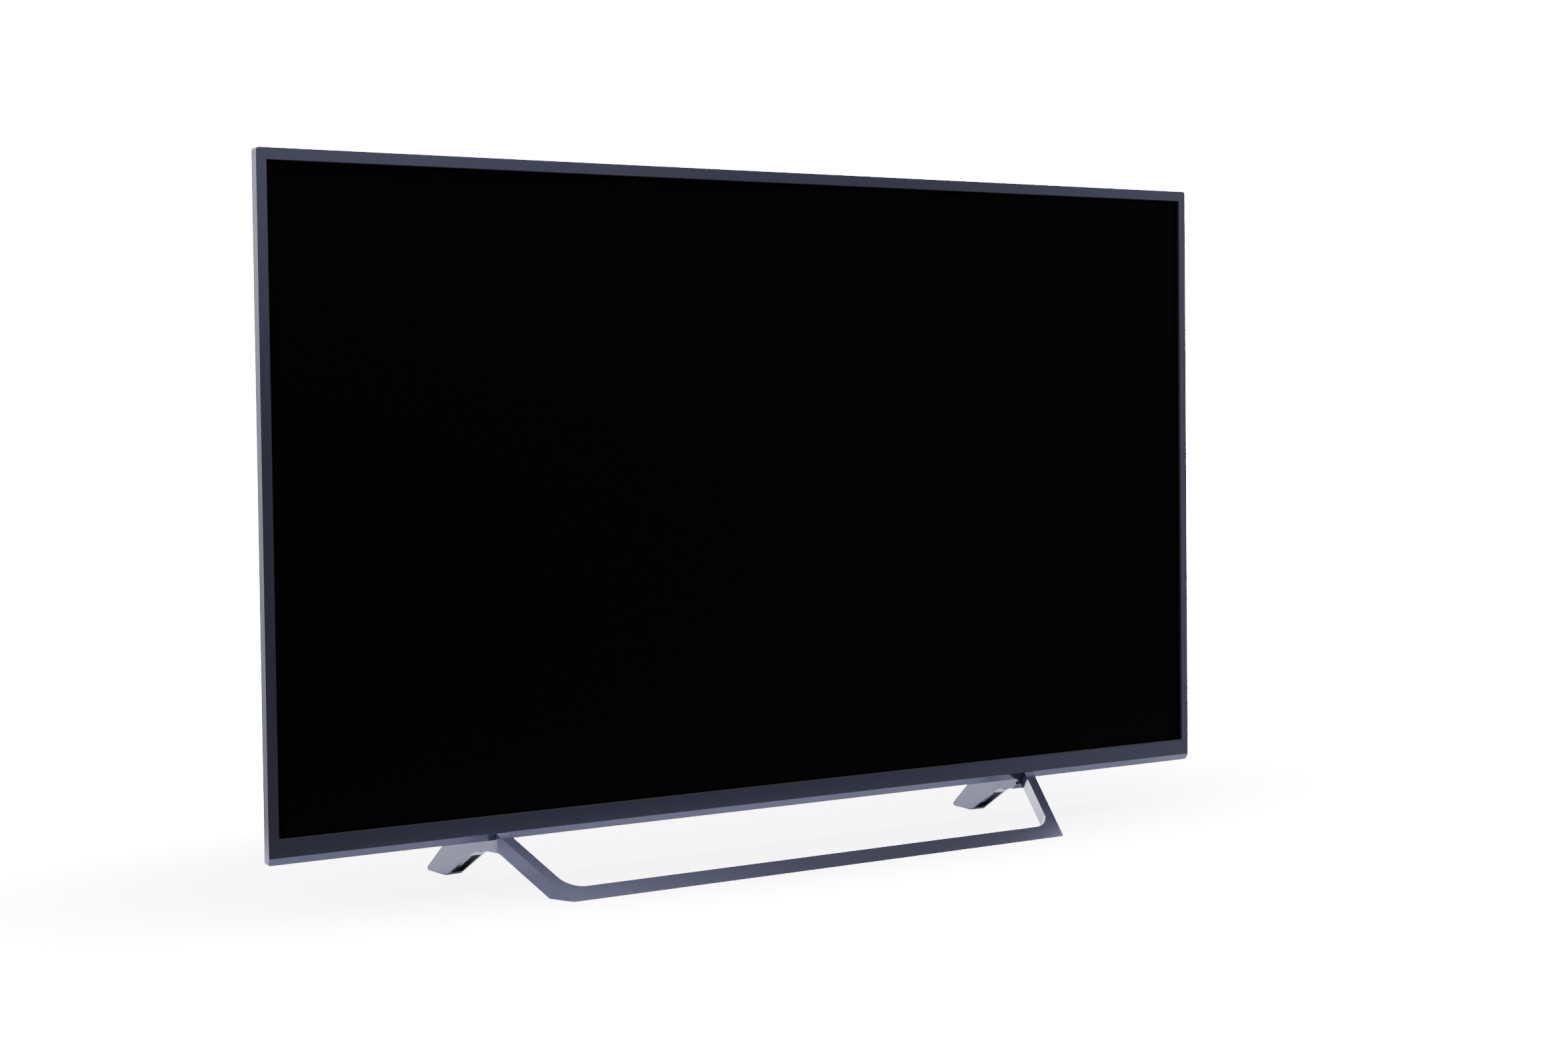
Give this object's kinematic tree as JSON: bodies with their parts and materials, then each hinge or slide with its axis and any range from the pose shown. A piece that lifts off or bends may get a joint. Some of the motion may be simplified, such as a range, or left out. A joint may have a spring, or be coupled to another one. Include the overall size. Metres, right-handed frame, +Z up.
{
  "type": "flat screen television",
  "caption": "Slim flat screen television on a loop stand, with a narrow dark bezel, rear cover, sockets, keys and speakers.",
  "frame": {"origin": "on the floor, in the middle of the width and half way between the stand's front bar and its heels", "axes": "+X to the right as seen from the front, +Y to the back, +Z up"},
  "size_m": [1.101, 0.2272, 0.693],
  "materials": {
    "bezel_finish": "dark blue grey metallic, satin",
    "stand_finish": "dark blue grey metallic, satin",
    "screen_film": "black polarising film with a low sheen",
    "screen_glass": "dark glass cell",
    "circuit_board": "solder resist",
    "inner_plastic": "moulded black plastic",
    "optical_sheet": "milky film",
    "clear_acrylic": "clear acrylic",
    "bare_aluminium": "extruded, bare",
    "led_yellow": "phosphor in white frames",
    "white_sheet": "white film",
    "plated_steel": "zinc plated sheet",
    "bush_brass": "turned",
    "cover_plastic": "fine spark eroded texture",
    "black_steel": "black zinc",
    "bright_steel": "zinc plated",
    "chip_black": "moulded epoxy",
    "black_aluminium": "black anodised",
    "winding_tape": "yellow tape over windings",
    "capacitor_sleeve": "shrunk sleeve",
    "ribbon_film": "flat cable film",
    "wire_sleeve": "taped wires",
    "socket_metal": "nickel plated",
    "socket_black": "moulded",
    "terminal_black": "moulded plate",
    "cone_paper": "pressed paper",
    "key_plastic": "moulded",
    "lens_dark": "infra-red window",
    "pad_rubber": "soft pads"
  },
  "bodies": {
    "set": {"ac_inlet": "socket_black", "antenna_socket": "socket_metal", "board_harness": "wire_sleeve", "board_screws": "bright_steel", "diffuser_sheet": "optical_sheet", "ethernet_socket": "socket_metal", "front_bezel": "bezel_finish", "front_polariser": "screen_film", "hdmi_sockets": "socket_metal", "headphone_socket": "socket_black", "key_board": "circuit_board", "lcd_panel": "screen_glass", "led_bar": "bare_aluminium", "led_chips": "led_yellow", "left_leg_cover": "stand_finish", "left_neck_bracket": "bright_steel", "left_speaker_box": "inner_plastic", "left_speaker_driver": "bright_steel", "left_stand_leg": "stand_finish", "light_guide_plate": "clear_acrylic", "main_board": "circuit_board", "main_board_chips": "chip_black", "main_heatsink": "black_aluminium", "mid_frame": "inner_plastic", "panel_ribbons": "ribbon_film", "power_board": "circuit_board", "power_capacitors": "capacitor_sleeve", "power_radiators": "bare_aluminium", "power_transformers": "winding_tape", "prism_sheet": "optical_sheet", "rear_chassis": "plated_steel", "rear_cover": "cover_plastic", "rear_cover_screws": "black_steel", "rear_terminal_panel": "terminal_black", "reflector_sheet": "white_sheet", "right_leg_cover": "stand_finish", "right_neck_bracket": "bright_steel", "right_speaker_box": "inner_plastic", "right_speaker_driver": "bright_steel", "right_stand_leg": "stand_finish", "sensor_board": "circuit_board", "sensor_lens": "lens_dark", "side_terminal_panel": "terminal_black", "source_boards": "circuit_board", "stand_bolts": "black_steel", "stand_loop": "stand_finish", "stand_pads": "pad_rubber", "tcon_board": "circuit_board", "usb_sockets": "socket_metal", "vesa_bushes": "bush_brass", "video_jacks": "socket_black", "wifi_module": "circuit_board"},
    "power_key": {"power_key": "key_plastic"},
    "channel_up_key": {"channel_up_key": "key_plastic"},
    "channel_down_key": {"channel_down_key": "key_plastic"},
    "volume_up_key": {"volume_up_key": "key_plastic"},
    "volume_down_key": {"volume_down_key": "key_plastic"},
    "input_key": {"input_key": "key_plastic"},
    "left_cone": {"left_speaker_cone": "cone_paper"},
    "right_cone": {"right_speaker_cone": "cone_paper"}
  },
  "joints": [
    {"name": "power_press", "type": "slide", "parent": "set", "child": "power_key", "axis": [0, -1, 0], "range_m": [0, 0.0008], "stiffness_N_per_m": 900, "springref_m": -0.0004},
    {"name": "channel_up_press", "type": "slide", "parent": "set", "child": "channel_up_key", "axis": [0, -1, 0], "range_m": [0, 0.0008], "stiffness_N_per_m": 900, "springref_m": -0.0004},
    {"name": "channel_down_press", "type": "slide", "parent": "set", "child": "channel_down_key", "axis": [0, -1, 0], "range_m": [0, 0.0008], "stiffness_N_per_m": 900, "springref_m": -0.0004},
    {"name": "volume_up_press", "type": "slide", "parent": "set", "child": "volume_up_key", "axis": [0, -1, 0], "range_m": [0, 0.0008], "stiffness_N_per_m": 900, "springref_m": -0.0004},
    {"name": "volume_down_press", "type": "slide", "parent": "set", "child": "volume_down_key", "axis": [0, -1, 0], "range_m": [0, 0.0008], "stiffness_N_per_m": 900, "springref_m": -0.0004},
    {"name": "input_press", "type": "slide", "parent": "set", "child": "input_key", "axis": [0, -1, 0], "range_m": [0, 0.0008], "stiffness_N_per_m": 900, "springref_m": -0.0004},
    {"name": "left_cone_travel", "type": "slide", "parent": "set", "child": "left_cone", "axis": [0, 0, 1], "range_m": [-0.0015, 0.0015], "stiffness_N_per_m": 1400},
    {"name": "right_cone_travel", "type": "slide", "parent": "set", "child": "right_cone", "axis": [0, 0, 1], "range_m": [-0.0015, 0.0015], "stiffness_N_per_m": 1400}
  ]
}
